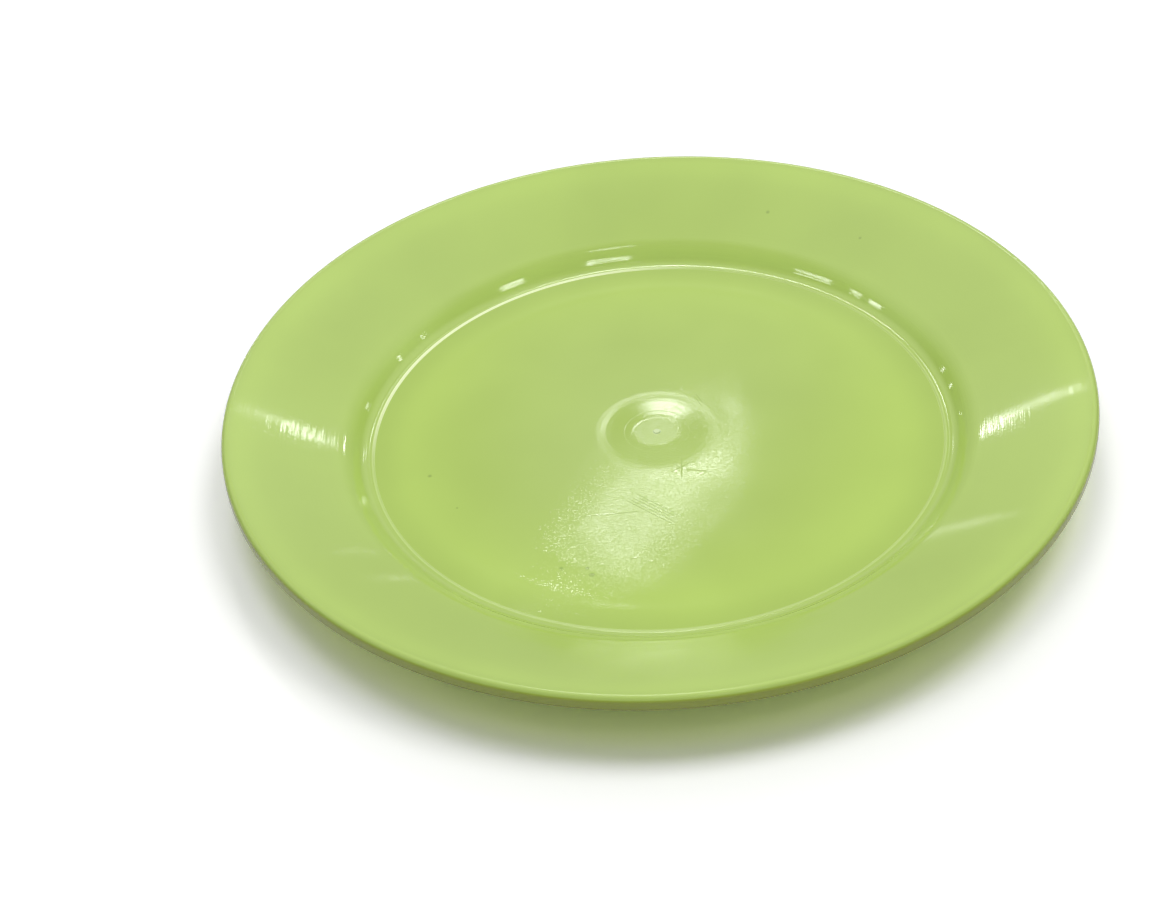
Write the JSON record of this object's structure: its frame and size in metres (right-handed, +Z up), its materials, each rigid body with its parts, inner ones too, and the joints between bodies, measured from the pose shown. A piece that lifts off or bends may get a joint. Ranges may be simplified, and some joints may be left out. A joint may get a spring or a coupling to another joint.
{
  "type": "plastic dinner plate",
  "caption": "Round moulded plastic dinner plate with a flat well, a steep wall, a broad sloped rim, a turned-down lip and a foot ring.",
  "frame": {"origin": "centre of the foot ring's face, on the surface the plate stands on", "axes": "+Z up along the plate's axis, out of the well; the plate is round, so +X and +Y are free, and -Y is the side nearest the picture's camera"},
  "size_m": [0.255, 0.255, 0.023],
  "materials": {
    "green_plastic": "glossy moulded lime green plastic with fine turned tool marks, light scratches and a few specks"
  },
  "bodies": {
    "root": {"plate": "green_plastic"}
  },
  "joints": []
}
